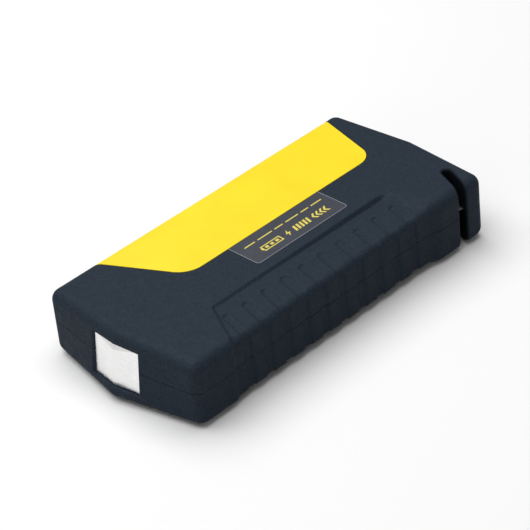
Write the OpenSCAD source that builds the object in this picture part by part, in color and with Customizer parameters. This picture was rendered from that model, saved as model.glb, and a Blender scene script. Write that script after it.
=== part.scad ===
// Jump starter pack: a hand-sized car battery booster with a window hammer on one end and a
// seat belt cutter slot on the other. +X is the cutter end, -X the hammer end, -Y the grip
// side, +Y the port side. The origin is under the middle of the casing, on the surface that
// the feet stand on.

/* [Body] */
// Length of the casing, hammer end to cutter end
body_l = 170; // [168:0.5:172]
// Width of the casing, grip side to port side
body_w = 80; // [79:0.5:82]
// Height of the casing without its feet
body_h = 28.5; // [28.5:0.5:30]
// Rounding of all the outer edges
edge_r = 4.5; // [4:0.1:5]
// How far the hammer end's point stands out from its corners, at the bottom
point_depth = 8.3; // [6:0.1:9]
// How far the point leans back by the top edge
point_lean = 4.3; // [3:0.1:5]
// How far the cutter end bulges in the middle
bulge_depth = 3.4; // [2:0.1:4]
// Height of the parting line above the casing's bottom
split_z = 15.5; // [15:0.1:16]
// Thickness of the floor of the lower shell
floor_t = 2.4; // [2:0.1:2.4]
// Thickness of the roof of the upper shell
roof_t = 3.4; // [3:0.1:3.4]

/* [Grip] */
// Distance of the grip's inner edge from the middle line
grip_y = 17.2; // [16:0.1:19]
// Depth of the grip below the casing's surface
grip_depth = 1.4; // [1:0.1:1.5]
// Extra depth of the finger grooves
groove_depth = 0.5; // [0.3:0.1:0.6]
// Number of finger grooves
groove_count = 10; // [6:1:10]
// Distance from groove to groove
groove_pitch = 10.14; // [9.5:0.01:10.2]
// Width of a finger groove
groove_w = 5; // [4:0.1:5.5]

/* [Panel and label] */
// Thickness of the coloured top panel
panel_t = 1.5; // [1.2:0.1:1.6]
// Gap all round the panel
panel_gap = 0.25; // [0.1:0.05:0.3]
// Distance of the panel's straight edge from the middle line
panel_y = 4; // [3:0.1:5]
// Length of the label film
label_l = 50; // [40:0.5:52]
// Width of the label film
label_w = 16.4; // [14:0.1:16.4]
// Thickness of the label film
label_t = 0.2; // [0.1:0.05:0.3]

/* [Window hammer] */
// Width of the hammer head
hammer_w = 23.4; // [20:0.1:24]
// Height of the hammer head
hammer_h = 17.4; // [15.5:0.1:17.4]
// How far the foot of the hammer's ridge stands back from the casing's lower tip
hammer_in = 2.1; // [1.7:0.1:2.6]

/* [Belt cutter] */
// Width of the cutter slot
slot_w = 3.6; // [3.4:0.1:4]
// Angle of the slot from the short direction of the casing
slot_angle = 22; // [20:1:24]
// Thickness of the cutter blade
blade_t = 0.5; // [0.4:0.1:0.6]
// Width of the cutter blade along the slot
blade_w = 7; // [6:0.1:7]

/* [Port side] */
// Length of the port bezel
bezel_l = 130; // [128:0.5:132]
// Height of the port bezel
bezel_h = 17; // [16.6:0.1:17]
// Thickness of the bezel's front plate
bezel_t = 1.6; // [1.5:0.1:1.8]
// Bore radius of the jump socket's contacts
contact_r = 2.5; // [2:0.1:2.6]
// Depth of the bore of the jump socket's contacts
contact_depth = 12.6; // [11:0.1:13]
// Distance between the two contacts of the jump socket
contact_pitch = 11; // [10.5:0.1:11]
// Travel of the power button
button_travel = 0.8; // [0.5:0.1:0.8]
// Travel of the voltage selector from its first to its last setting
selector_travel = 4; // [3:0.5:4]

/* [Battery] */
// Length of a battery cell
cell_l = 104; // [100:0.5:104]
// Width of a battery cell
cell_w = 42; // [38:0.5:42]
// Thickness of a battery cell
cell_t = 7; // [6:0.1:7]
// Thickness of the tape between two cells
tape_t = 0.15; // [0.1:0.05:0.15]

/* [Feet and screws] */
// Radius of a rubber foot
foot_r = 4.5; // [4:0.1:4.5]
// How far the feet stand out below the casing
foot_out = 0.5; // [0.3:0.1:0.8]
// Radius of a case screw's head
screw_head_r = 2.4; // [2:0.1:2.4]
// Radius of a case screw's shank
screw_r = 1.1; // [1:0.05:1.2]

/* [Hidden] */

$fn = 48;
navy = [0.12, 0.16, 0.21];
yellow = [0.98, 0.86, 0.12];
film_grey = [0.30, 0.32, 0.40];
steel = [0.80, 0.80, 0.82];
black = [0.08, 0.08, 0.09];
socket_blue = [0.10, 0.25, 0.65];
brass = [0.85, 0.66, 0.25];
foil = [0.75, 0.76, 0.78];
board_green = [0.05, 0.35, 0.18];
red = [0.75, 0.08, 0.06];
clear = [0.85, 0.92, 0.95, 0.6];
over = 1;              // how far a cutting body runs past the surface that it cuts

// Casing: beads at the corners, whose hull is the outer form
half_l = body_l / 2;
half_w = body_w / 2;
bead_y = half_w - edge_r;
top_bead_z = body_h - edge_r;
hammer_bead_x = -half_l + edge_r;
cutter_bead_x = half_l - edge_r;
hammer_side_x = hammer_bead_x + point_depth * bead_y / half_w;
cutter_side_x = cutter_bead_x - bulge_depth * bead_y / half_w;
casing_beads = [
    [hammer_bead_x, 0, edge_r], [hammer_bead_x + point_lean, 0, top_bead_z],
    [cutter_bead_x, 0, edge_r], [cutter_bead_x, 0, top_bead_z],
    for (y = [-bead_y, bead_y], z = [edge_r, top_bead_z])
        each [[hammer_side_x, y, z], [cutter_side_x, y, z]]
];
bead_sides = 24;

// Cavity inside the two shells
cavity_x = [-75.5, 78.5];
cavity_y = [-36, 37];
cavity_top = body_h - roof_t;
cavity_chamfer = 5;
cutter_block = [59, -21];      // the solid corner around the cutter slot
grip_floor_z = 3.4;            // raised floor under the grip
grip_floor_y = -15.5;          // the floor is raised on the grip side of this
lip_t = 0.8;
lip_h = 1.2;
fit_gap = 0.1;
sink = 0.2;                    // how far a post or rib runs into the wall that it stands on
fence_t = 1.2;                 // two low walls that keep the battery in place
fence_h = 9;
end_fence = [43.4, -30];
end_fence_l = 34;
side_fence = [-55, 8.9];
side_fence_l = 95;
prop_x = -72.7;                // square ribs behind the hammer's flange
prop_y = [-8, 6.5];
prop_w = 1.5;

// Grip zone
grip_left = [-47, -61];        // x of its left end at the inner edge and past the side
grip_right = [50, 59];
grip_out_y = -45;
groove_x = -48.5;              // x of the first groove at the grip side, at mid height
groove_lean = 1.3;             // degrees that a groove leans along the casing
groove_slant = 14;             // degrees that a groove slants in plan
groove_end_y = -26.5;

// Top panel outline
panel_left = [-36.8, -56];     // x of its left end at the straight edge and past the side
panel_right = [65.4, 75.3];
panel_out_y = 42;
panel_corner_r = [11, 9];
panel_low_z = 23.6;            // its lower edge on the port side
panel_pegs = [[-30, 30], [60, 30], [-20, 10], [56, 12]];
peg_r = 1.5;
label_x = -16.4;
label_corner = 1.6;

// Hammer
hammer_top_z = 23.3;
hammer_z = [hammer_top_z - hammer_h, hammer_top_z];
hammer_hip = 2.3;              // the ridge stops this far below the head's top
hammer_crown = 0.7;            // and two small facets run back this far from there to the top
hammer_back_x = -75.6;
hammer_flange_w = 27.4;
hammer_flange_t = 2.4;
hammer_flange_rim = 0.5;       // how far the flange reaches above and below the head
hammer_rise = 0.155;           // how steeply its two faces run back from the ridge
hammer_lean = 0.11;            // and how steeply the ridge leans back towards the top

// Cutter: the slot's own axes are along it, towards the mouth, and across it
slot_end = [74.5, -27.5];
blade_u = 2.1;
blade_v = [-7, 4.5];
blade_bevel = 1.2;
blade_bevel_angle = 11.3;

// Port side
bezel_x = 3;                   // middle of the bezel
bezel_z = 13.2;                // middle of the bezel, and of the row of controls
bezel_front_y = half_w;
bezel_back_y = bezel_front_y - bezel_t;
flange_back_y = bezel_back_y - 1.2;
flange_w = 1;                  // how far the bezel's flange reaches round its plate
wall_in_y = cavity_y[1];
socket_x = -43.5;
socket_size = [25, 12];
socket_front_y = 38.1;
socket_back_y = 23;
contact_outer_r = 3.4;
cover_hinge = [-58.8, 39.1];
cover_y = [38.6, 39.9];
cover_size = [28, 13];
cover_window = [30, 13.6];
cover_window_x = -45.4;
barrel_r = 0.9;
hinge_pin_r = 0.5;
hinge_bore_r = 0.56;
hinge_pin_out = 1.5;
button_x = -21;
button_r = 4.2;
button_hole_r = 4.5;
button_front_y = 39.9;
button_back_y = 35.2;
button_rim = 0.9;              // how far its flange reaches round the cap
dish_r = 14;                   // a shallow dish for the fingertip
dish_depth = 0.4;
led_x = -6;
led_pitch = 3;
led_count = 5;
led_r = 1;
selector_x = 8.5;
selector_knob = [2.4, 2.6];
selector_slot = [7.4, 3.4];
output_x = 19.5;
input_x = 30.5;
jack_r = 3.9;
jack_bore_r = 2.85;
jack_front_y = 39.2;
jack_depth = 9.5;
jack_back_y = 29;
jack_block = [7.8, 11.5];      // its block on the main board, seen from above
jack_block_y = 25;
jack_pin_r = 1;
usb_x = [43, 58.5];
usb_size = [14.5, 15.6];
usb_mouth = [13.3, 5.7];
usb_step = 7.8;                // from the lower port to the upper port
usb_front_y = 38.2;
usb_back_y = 24;
usb_wall = 0.4;
usb_bore_h = 6.6;
usb_tongue = [11.1, 1.9];

// Boards
board_z = 3.5;
board_t = 1.6;
board_top = board_z + board_t;
board_x = [-60, 67];
board_y = [16.5, 34.5];
small_board_x = [-27, 15];
small_board_y = 28;
small_board_t = 1.2;
small_board_h = 14;
board_screw_xy = [[-57, 19.5], [37, 19.5], [61, 19.5]];
board_post_r = 2.4;

switch_t = 3.6;
switch_front_y = small_board_y + small_board_t + switch_t;
plunger_r = 1.5;
plunger_in = 0.8;              // how far the plunger stands in the switch at rest

// Flashlight in the cutter end
light_y = 6;
light_z = split_z;
lens_r = 6.5;
lens_front_x = 83.9;
lens_t = 2;
lens_flange = 0.7;
reflector_back_x = 75;
light_board_x = [73.6, 74.8];
led_dome_r = 1.6;

// Battery
cell_x = -61;
cell_y = -33.5;
cell_z = 3.6;
cell_step = cell_t + tape_t;
tab_y = [-12, 2];
tab_l = 3.8;
lead_r = 2;
thin_lead_r = 0.6;
positive_route = [[-38, 17.9, 13.2], [-38, 12.6, 13.2], [-41, 12.4, 20.2], [-66, 12.4, 20.2],
                  [-70.2, 10, 20.2], [-70.2, -10, 20.2], [-69.6, -12, 20.2], [-66.1, -12, 20.2]];
negative_route = [[-49, 17.9, 13.2], [-49, 14, 13.2], [-52, 12.4, 13.4], [-66, 12.4, 13.4],
                  [-70.2, 10, 13.4], [-70.2, 4, 13.4], [-69.6, 2, 13.4], [-66.1, 2, 13.4]];
light_route = [[55, 19.5, board_top], [55, 19.5, 8], [60, 15.5, 9.5], [67, 10, 10],
               [70.5, 8, 12], [72.9, 8, 12]];

// Feet and screws
foot_xy = [[-67, -28], [-67, 28], [64, -19], [72.5, 29]];
foot_recess = 0.7;
post_r = 3.8;
head_shoulder_z = 10;
head_t = 1.6;
screw_top_z = 21.5;

// ---------- Shared shapes ----------

// Height of a USB port's middle: s is -1 for the lower one of a pair and 1 for the upper one
function usb_z(s) = board_top + usb_size[1] / 2 + s * usb_step / 2;

// Place of a charge light along the casing
function level_x(i) = led_x + (i - (led_count - 1) / 2) * led_pitch;

// Puts a piece that was drawn on the casing's bottom plane onto its feet
module place() {
    translate([0, 0, foot_out]) children();
}

// A round bead that reaches its full radius along every axis
module bead(r) {
    rotate_extrude($fn = bead_sides)
        polygon([for (i = [0 : bead_sides / 2])
            let (a = -90 + 360 / bead_sides * i) [r * cos(a), r * sin(a)]]);
}

// The casing's outer form, shrunk by inset all round
module envelope(inset = 0) {
    hull()
        for (p = casing_beads)
            translate(p) bead(edge_r - inset);
}

// A rectangle with round corners, centred
module round_rect(size, r) {
    square([size[0] - 2 * r, size[1]], center = true);
    square([size[0], size[1] - 2 * r], center = true);
    for (x = [-1, 1], y = [-1, 1])
        translate([x * (size[0] / 2 - r), y * (size[1] / 2 - r)]) circle(r);
}

// Stands a flat outline up in the port side, from back_y to front_y
module on_port_side(x, z, back_y, front_y) {
    translate([x, front_y, z])
        rotate([90, 0, 0])
            linear_extrude(front_y - back_y) children();
}

// A round bar or bore that points out of the port side
module port_bar(x, z, r, back_y, front_y) {
    translate([x, back_y, z])
        rotate([-90, 0, 0])
            cylinder(r = r, h = front_y - back_y);
}

// Everything above or below the parting line
module upper_half() {
    translate([-half_l - over, -half_w - over, split_z])
        cube([body_l + 2 * over, body_w + 2 * over, body_h]);
}

module lower_half() {
    translate([-half_l - over, -half_w - over, split_z - body_h])
        cube([body_l + 2 * over, body_w + 2 * over, body_h]);
}

// A tube of radius r along a route, with the route's corners cut smooth; no stretch of the route
// may run along the direction called side
function cut_corners(p, n) = n == 0 ? p : cut_corners([
    p[0],
    for (i = [0 : len(p) - 2]) each [0.75 * p[i] + 0.25 * p[i + 1], 0.25 * p[i] + 0.75 * p[i + 1]],
    p[len(p) - 1]
], n - 1);
function unit(v) = v / norm(v);
function heading(p, i) = unit(p[min(i + 1, len(p) - 1)] - p[max(i - 1, 0)]);

module lead(route, r, sides, side = [0.3, 0.2, 1]) {
    path = cut_corners(route, 2);
    rings = [for (i = [0 : len(path) - 1])
        let (t = heading(path, i), a = unit(cross(t, side)), b = cross(t, a))
        for (k = [0 : sides - 1])
            path[i] + r * (cos(360 * k / sides) * a + sin(360 * k / sides) * b)];
    last = (len(path) - 1) * sides;
    polyhedron(rings, [
        [for (k = [0 : sides - 1]) k],
        [for (k = [sides - 1 : -1 : 0]) last + k],
        for (i = [0 : len(path) - 2], k = [0 : sides - 1])
            let (n = (k + 1) % sides)
            [i * sides + k, (i + 1) * sides + k, (i + 1) * sides + n, i * sides + n]
    ]);
}

// ---------- Casing ----------

// The grip's area, seen from above
module grip_zone() {
    translate([0, 0, -over])
        linear_extrude(body_h + 2 * over)
            polygon([[grip_left[0], -grip_y], [grip_left[1], grip_out_y],
                     [grip_right[1], grip_out_y], [grip_right[0], -grip_y]]);
}

// One finger groove, right through the casing's height
module finger_groove() {
    reach = (groove_end_y - grip_out_y) / cos(groove_slant);
    rotate([0, -groove_lean, 0])
        linear_extrude(2 * body_h, center = true)
            translate([(bead_y + groove_end_y) * tan(groove_slant), groove_end_y])
                rotate(-groove_slant) {
                    circle(groove_w / 2);
                    translate([-groove_w / 2, -reach]) square([groove_w, reach]);
                }
}

module finger_grooves() {
    for (i = [0 : groove_count - 1])
        translate([groove_x + i * groove_pitch, 0, body_h / 2]) finger_groove();
}

// The belt slot, right through the casing, with a round inner end
module cutter_slot() {
    reach = 30;
    translate([slot_end[0], slot_end[1], -over]) {
        cylinder(d = slot_w, h = body_h + 2 * over);
        rotate(-slot_angle)
            translate([-slot_w / 2, -reach, 0]) cube([slot_w, reach, body_h + 2 * over]);
    }
}

module casing_form() {
    difference() {
        envelope();
        difference() {
            grip_zone();
            envelope(grip_depth);
        }
        difference() {
            finger_grooves();
            envelope(grip_depth + groove_depth);
        }
        cutter_slot();
    }
}

// Plan of the cavity, grown outwards by grow
module cavity_plan(grow = 0) {
    x0 = cavity_x[0] - grow;
    x1 = cavity_x[1] + grow;
    y0 = cavity_y[0] - grow;
    y1 = cavity_y[1] + grow;
    c = cavity_chamfer + 0.59 * grow;
    bx = cutter_block[0] + grow;
    by = cutter_block[1] - grow;
    polygon([[x0 + c, y0], [bx, y0], [bx, by], [x1, by], [x1, y1 - c], [x1 - c, y1],
             [x0 + c, y1], [x0, y1 - c], [x0, y0 + c]]);
}

// The cavity's floor steps up under the grip, which is cut into the underside too
module cavity() {
    translate([0, 0, grip_floor_z])
        linear_extrude(cavity_top - grip_floor_z) cavity_plan();
    difference() {
        translate([0, 0, floor_t])
            linear_extrude(grip_floor_z - floor_t + 0.5) cavity_plan();
        translate([-half_l, -half_w, floor_t - over])
            cube([body_l, half_w + grip_floor_y, grip_floor_z - floor_t + 2 * over]);
    }
}

// Ring that the lower shell's lip fills, and the upper shell's rebate with room round it
module lip_ring(gap = 0) {
    translate([0, 0, split_z])
        linear_extrude(lip_h + gap)
            difference() {
                cavity_plan(lip_t + gap);
                cavity_plan();
            }
}

// The openings that both shells share
module hammer_opening() {
    y = hammer_w / 2 + fit_gap;
    back_x = hammer_back_x + 0.2;
    edge_x = -half_l + hammer_in + hammer_rise * y;
    flare = half_l + over + edge_x;    // the sides open out at 45 degrees in front of the head
    translate([0, 0, hammer_z[0] - fit_gap])
        linear_extrude(hammer_h + 2 * fit_gap)
            polygon([[edge_x - flare, -y - flare], [edge_x, -y], [back_x, -y],
                     [back_x, y], [edge_x, y], [edge_x - flare, y + flare]]);
}

module bezel_opening() {
    on_port_side(bezel_x, bezel_z, bezel_back_y - over, half_w + over)
        round_rect([bezel_l + 2 * fit_gap, bezel_h + 2 * fit_gap], 2);
    on_port_side(bezel_x, bezel_z, wall_in_y - over, bezel_back_y + fit_gap)
        round_rect([bezel_l + 2 * (flange_w + fit_gap), bezel_h + 2 * (flange_w + fit_gap)], 2);
}

module light_opening() {
    x0 = cavity_x[1] - over;
    translate([x0, light_y, light_z]) rotate([0, 90, 0])
        cylinder(r = lens_r + fit_gap, h = half_l + over - x0);
    translate([lens_front_x - lens_t - fit_gap, light_y, light_z]) rotate([0, 90, 0])
        cylinder(r = lens_r + lens_flange + fit_gap, h = 0.8 + 2 * fit_gap);
}

module foot_recesses() {
    for (p = foot_xy)
        translate([p[0], p[1], -over]) cylinder(r = foot_r + fit_gap, h = foot_recess + over);
}

module lower_shell() {
    color(navy) place()
        difference() {
            union() {
                difference() {
                    intersection() {
                        casing_form();
                        lower_half();
                    }
                    cavity();
                }
                lip_ring();
                for (p = foot_xy)
                    translate([p[0], p[1], floor_t - sink])
                        cylinder(r = post_r, h = split_z - floor_t + sink);
                for (p = board_screw_xy)
                    translate([p[0], p[1], floor_t - sink])
                        cylinder(r = board_post_r, h = board_z - floor_t + sink);
                translate([end_fence[0], end_fence[1], floor_t - sink])
                    cube([fence_t, end_fence_l, fence_h]);
                translate([side_fence[0], side_fence[1], floor_t - sink])
                    cube([side_fence_l, fence_t, fence_h]);
                for (y = prop_y)
                    translate([prop_x, y, floor_t - sink]) cube([prop_w, prop_w, 6]);
            }
            foot_recesses();
            for (p = foot_xy) {
                translate([p[0], p[1], 0]) cylinder(r = screw_head_r + 0.2, h = head_shoulder_z);
                translate([p[0], p[1], 0]) cylinder(r = screw_r + 0.15, h = split_z + over);
            }
            for (p = board_screw_xy)
                translate([p[0], p[1], 1.2]) cylinder(r = 0.95, h = board_z);
            hammer_opening();
            bezel_opening();
            light_opening();
            translate([0, 0, split_z - blade_t - 0.05]) blade_plan(0.05, blade_t + lip_h + over);
        }
}

module upper_shell() {
    color(navy) place()
        difference() {
            union() {
                difference() {
                    intersection() {
                        casing_form();
                        upper_half();
                    }
                    cavity();
                    difference() {
                        panel_zone(panel_gap);
                        envelope(panel_t + 0.05);
                    }
                }
                for (p = foot_xy)
                    translate([p[0], p[1], split_z])
                        cylinder(r = post_r - 0.6, h = cavity_top - split_z + sink);
                for (y = prop_y)
                    translate([prop_x, y, cavity_top - 3.2]) cube([prop_w, prop_w, 3.2 + sink]);
            }
            for (p = foot_xy)
                translate([p[0], p[1], split_z - over]) cylinder(r = screw_r + 0.05, h = 8);
            lip_ring(fit_gap);
            for (p = panel_pegs)
                translate([p[0], p[1], cavity_top - over]) cylinder(r = peg_r + 0.1, h = roof_t);
            translate([label_x, panel_y - panel_gap - label_w, body_h - label_t])
                linear_extrude(over) label_outline();
            hammer_opening();
            bezel_opening();
            light_opening();
        }
}

// ---------- Panel and label ----------

// One end of the panel's outline: its round corner and its slanted edge.
// s is -1 for the left end and 1 for the right end.
module panel_end(near_x, far_x, r, grow, s) {
    a = atan(abs(far_x - near_x) / (panel_out_y - panel_y));
    cx = near_x - s * r * (1 - sin(a)) / cos(a);
    cy = panel_y + r;
    g = r + grow;
    far_shift = (panel_out_y - cy + g * sin(a)) * tan(a);
    polygon([[0, panel_y - grow], [cx, panel_y - grow], [cx, cy], [cx + s * g * cos(a), cy - g * sin(a)],
             [cx + s * (g * cos(a) + far_shift), panel_out_y], [0, panel_out_y]]);
    translate([cx, cy]) circle(g, $fn = 96);
}

module panel_plan(grow = 0) {
    panel_end(panel_left[0], panel_left[1], panel_corner_r[0], grow, -1);
    panel_end(panel_right[0], panel_right[1], panel_corner_r[1], grow, 1);
}

module panel_zone(grow = 0) {
    translate([0, 0, panel_low_z - grow])
        linear_extrude(body_h) panel_plan(grow);
}

module top_panel() {
    color(yellow) place() {
        difference() {
            intersection() {
                panel_zone();
                envelope();
            }
            envelope(panel_t);
        }
        for (p = panel_pegs)
            translate([p[0], p[1], cavity_top + 0.4]) cylinder(r = peg_r, h = body_h - cavity_top - 1);
    }
}

module label_outline() {
    c = label_corner;
    polygon([[0, label_w], [0, c], [c, 0], [label_l - c, 0], [label_l, c], [label_l, label_w]]);
}

module label_film() {
    color(film_grey) place()
        translate([label_x, panel_y - panel_gap - label_w, body_h - label_t])
            linear_extrude(label_t) label_outline();
}

// ---------- Window hammer ----------

// The ridge's x at a height above its foot
function ridge_x(h) = -half_l + hammer_in + hammer_lean * h;

// The head is a wedge. Its ridge ends in two small facets below the top edge, and a flange
// behind it is held between the two shells.
module hammer_head() {
    y = hammer_w / 2;
    z0 = hammer_z[0];
    z1 = hammer_z[1];
    low_x = ridge_x(0) + hammer_rise * y;
    high_x = ridge_x(hammer_h) + hammer_rise * y;
    back_x = hammer_back_x + 0.5;
    color(steel) place() {
        polyhedron(
            [[ridge_x(0), 0, z0], [low_x, -y, z0], [back_x, -y, z0], [back_x, y, z0], [low_x, y, z0],
             [ridge_x(hammer_h - hammer_hip), 0, z1 - hammer_hip],
             [ridge_x(hammer_h) + hammer_crown, 0, z1],
             [high_x, -y, z1], [back_x, -y, z1], [back_x, y, z1], [high_x, y, z1]],
            [[0, 1, 2, 3, 4], [6, 10, 9, 8, 7], [1, 7, 8, 2], [3, 9, 10, 4], [2, 8, 9, 3],
             [0, 5, 7, 1], [4, 10, 5, 0], [5, 6, 7], [10, 6, 5]]
        );
        translate([hammer_back_x + 0.2, -hammer_flange_w / 2, z0 - hammer_flange_rim])
            cube([hammer_flange_t, hammer_flange_w, hammer_h + 2 * hammer_flange_rim]);
    }
}

// ---------- Belt cutter ----------

// Plan of the blade in the slot's own axes, grown by grow
module blade_plan(grow, h) {
    translate([slot_end[0], slot_end[1], 0])
        rotate(-slot_angle)
            translate([blade_v[0] - grow, -blade_u - blade_w - grow, 0])
                cube([blade_v[1] - blade_v[0] + 2 * grow, blade_w + 2 * grow, h]);
}

module cutter_blade() {
    color(steel) place()
        difference() {
            translate([0, 0, split_z - blade_t]) blade_plan(0, blade_t);
            // the ground edge on the mouth's side, bevelled from above and below
            for (s = [-1, 1])
                translate([slot_end[0], slot_end[1], split_z - blade_t / 2])
                    rotate(-slot_angle)
                        translate([0, -blade_u - blade_w, 0])
                            rotate([s * blade_bevel_angle, 0, 0])
                                translate([-20, -2, s == 1 ? 0 : -5]) cube([40, 2 + blade_bevel, 5]);
        }
}

// ---------- Port side ----------

module port_bezel() {
    color(black) place()
        difference() {
            union() {
                on_port_side(bezel_x, bezel_z, bezel_back_y - 0.2, bezel_front_y)
                    round_rect([bezel_l, bezel_h], 2);
                on_port_side(bezel_x, bezel_z, flange_back_y, bezel_back_y)
                    round_rect([bezel_l + 2 * flange_w, bezel_h + 2 * flange_w], 2);
            }
            on_port_side(cover_window_x, bezel_z, flange_back_y - over, half_w + over)
                round_rect(cover_window, 0.8);
            // bore for the cover's hinge pins
            translate([cover_hinge[0], cover_hinge[1], bezel_z - cover_size[1] / 2 - hinge_pin_out - 0.1])
                cylinder(r = hinge_bore_r, h = cover_size[1] + 2 * hinge_pin_out + 0.2);
            port_bar(button_x, bezel_z, button_hole_r, flange_back_y - over, half_w + over);
            for (i = [0 : led_count - 1])
                port_bar(level_x(i), bezel_z, led_r + 0.05, flange_back_y - over, half_w + over);
            on_port_side(selector_x, bezel_z, flange_back_y - over, half_w + over)
                round_rect(selector_slot, 0.8);
            for (x = [output_x, input_x])
                port_bar(x, bezel_z, jack_r + fit_gap, flange_back_y - over, half_w + over);
            for (x = usb_x) {
                on_port_side(x, board_top + usb_size[1] / 2, flange_back_y - over, usb_front_y + fit_gap)
                    square([usb_size[0] + 2 * fit_gap, usb_size[1] + 2 * fit_gap], center = true);
                for (s = [-1, 1])
                    on_port_side(x, usb_z(s), bezel_back_y - over, half_w + over)
                        round_rect(usb_mouth, 0.5);
            }
        }
}

module jump_socket() {
    color(socket_blue) place()
        difference() {
            union() {
                on_port_side(socket_x, bezel_z, socket_back_y, socket_front_y)
                    round_rect(socket_size, 2.5);
                on_port_side(cover_window_x, bezel_z, flange_back_y - 2, flange_back_y - 0.1)
                    square([cover_window[0] + 4, socket_size[1] + 4], center = true);
            }
            for (s = [-1, 1])
                port_bar(socket_x + s * contact_pitch / 2, bezel_z, contact_outer_r + 0.05,
                         socket_back_y - over, socket_front_y + over);
        }
}

module contact(s) {
    x = socket_x + s * contact_pitch / 2;
    front = socket_front_y - 0.4;
    difference() {
        port_bar(x, bezel_z, contact_outer_r, socket_back_y + 0.3, front);
        port_bar(x, bezel_z, contact_r, front - contact_depth, front + over);
    }
    port_bar(x, bezel_z, 2.2, socket_back_y - 5, socket_back_y + 1);
}

module contact_positive() {
    color(brass) place() contact(1);
}

module contact_negative() {
    color(brass) place() contact(-1);
}

module socket_cover() {
    low = bezel_z - cover_size[1] / 2;
    color(black) place() {
        difference() {
            union() {
                translate([cover_hinge[0], cover_y[0], low])
                    cube([cover_size[0], cover_y[1] - cover_y[0], cover_size[1]]);
                translate([cover_hinge[0], cover_hinge[1], low]) cylinder(r = barrel_r, h = cover_size[1]);
            }
            // finger notch at the free end
            translate([cover_hinge[0] + cover_size[0] + 0.6, cover_y[1] + 0.2, low - over])
                cylinder(r = 1.2, h = cover_size[1] + 2 * over);
        }
        translate([cover_hinge[0], cover_hinge[1], low - hinge_pin_out])
            cylinder(r = hinge_pin_r, h = cover_size[1] + 2 * hinge_pin_out);
    }
}

// One stacked pair of USB ports: a steel box with two mouths
module usb_sleeve(i) {
    z = board_top + usb_size[1] / 2;
    color(steel) place()
        difference() {
            on_port_side(usb_x[i], z, usb_back_y, usb_front_y) square(usb_size, center = true);
            for (s = [-1, 1])
                on_port_side(usb_x[i], usb_z(s), usb_back_y + 1, usb_front_y + over)
                    square([usb_size[0] - 2 * usb_wall, usb_bore_h], center = true);
        }
}

module usb_insulator(i) {
    color([0.9, 0.9, 0.9]) place()
        for (s = [-1, 1]) {
            on_port_side(usb_x[i], usb_z(s), usb_back_y + 1, usb_back_y + 4)
                square([usb_size[0] - 2 * usb_wall, usb_bore_h], center = true);
            on_port_side(usb_x[i], usb_z(s) + 1, usb_back_y + 3, usb_front_y - 1)
                square(usb_tongue, center = true);
        }
}

module usb_sleeve_1() { usb_sleeve(0); }
module usb_sleeve_2() { usb_sleeve(1); }
module usb_insulator_1() { usb_insulator(0); }
module usb_insulator_2() { usb_insulator(1); }

// A round jack: body with a blind bore, on a block that stands on the main board
module jack(x) {
    color(black) place()
        difference() {
            union() {
                port_bar(x, bezel_z, jack_r, jack_back_y, jack_front_y);
                translate([x - jack_block[0] / 2, jack_block_y, board_top])
                    cube([jack_block[0], jack_block[1], bezel_z - board_top + 2]);
            }
            port_bar(x, bezel_z, jack_bore_r, jack_front_y - jack_depth, jack_front_y + over);
            port_bar(x, bezel_z, jack_pin_r + 0.1, jack_block_y + 1, jack_front_y);
        }
}

module jack_pin(x) {
    color(steel) place() {
        tip_y = jack_front_y - 1.6;
        port_bar(x, bezel_z, jack_pin_r, jack_block_y + 1.2, tip_y);
        translate([x, tip_y, bezel_z]) sphere(r = jack_pin_r);
    }
}

module output_jack() { jack(output_x); }
module output_pin() { jack_pin(output_x); }
module input_jack() { jack(input_x); }
module input_pin() { jack_pin(input_x); }

// Push button: a round cap that a flange keeps behind the bezel
module power_button() {
    color(black) place()
        difference() {
            union() {
                port_bar(button_x, bezel_z, button_r, 36, button_front_y);
                port_bar(button_x, bezel_z, button_r + button_rim, button_back_y, flange_back_y - 0.3);
            }
            translate([button_x, button_front_y + dish_r - dish_depth, bezel_z])
                sphere(r = dish_r, $fn = 96);
        }
}

// The plunger behind the cap, which sinks into the switch on the small board
module button_plunger() {
    color(red) place() port_bar(button_x, bezel_z, plunger_r, switch_front_y - plunger_in, button_back_y);
}

module button_switch() {
    color(steel) place()
        difference() {
            translate([button_x - 3, switch_front_y - switch_t, bezel_z - 3]) cube([6, switch_t, 6]);
            port_bar(button_x, bezel_z, plunger_r + 0.3,
                     switch_front_y - plunger_in - button_travel - 0.8, switch_front_y + over);
        }
}

// Sliding selector: a knob in a slot of the bezel, on a carriage behind it
module voltage_selector() {
    x = selector_x - selector_travel / 2;
    color(black) place() {
        on_port_side(x, bezel_z, 35, 39.6) square(selector_knob, center = true);
        on_port_side(x, bezel_z, 34.9, flange_back_y - 0.3)
            square([selector_knob[0] + 2.4, 4.6], center = true);
        on_port_side(x, bezel_z, 32.4, 35) square([1.4, 1.4], center = true);
    }
}

module selector_body() {
    color(steel) place()
        difference() {
            translate([selector_x - 5, small_board_y + small_board_t, bezel_z - 2.8]) cube([10, 4.6, 5.6]);
            on_port_side(selector_x, bezel_z, small_board_y + small_board_t + 1.6, 35)
                square([selector_travel + 2, 2], center = true);
        }
}

module level_leds() {
    color([0.95, 0.95, 0.85]) place()
        for (i = [0 : led_count - 1])
            translate([level_x(i) - 0.8, small_board_y + small_board_t, bezel_z - 0.8])
                cube([1.6, 0.8, 1.6]);
}

module level_light_guide() {
    color(clear) place() {
        for (i = [0 : led_count - 1])
            port_bar(level_x(i), bezel_z, led_r, 30.4, half_w - 0.2);
        translate([led_x - 2 * led_pitch - 1.4, 33, bezel_z - 1.4])
            cube([4 * led_pitch + 2.8, 1.4, 2.8]);
    }
}

module button_board() {
    color(board_green) place()
        translate([small_board_x[0], small_board_y, board_top])
            cube([small_board_x[1] - small_board_x[0], small_board_t, small_board_h]);
}

// ---------- Flashlight ----------

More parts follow.
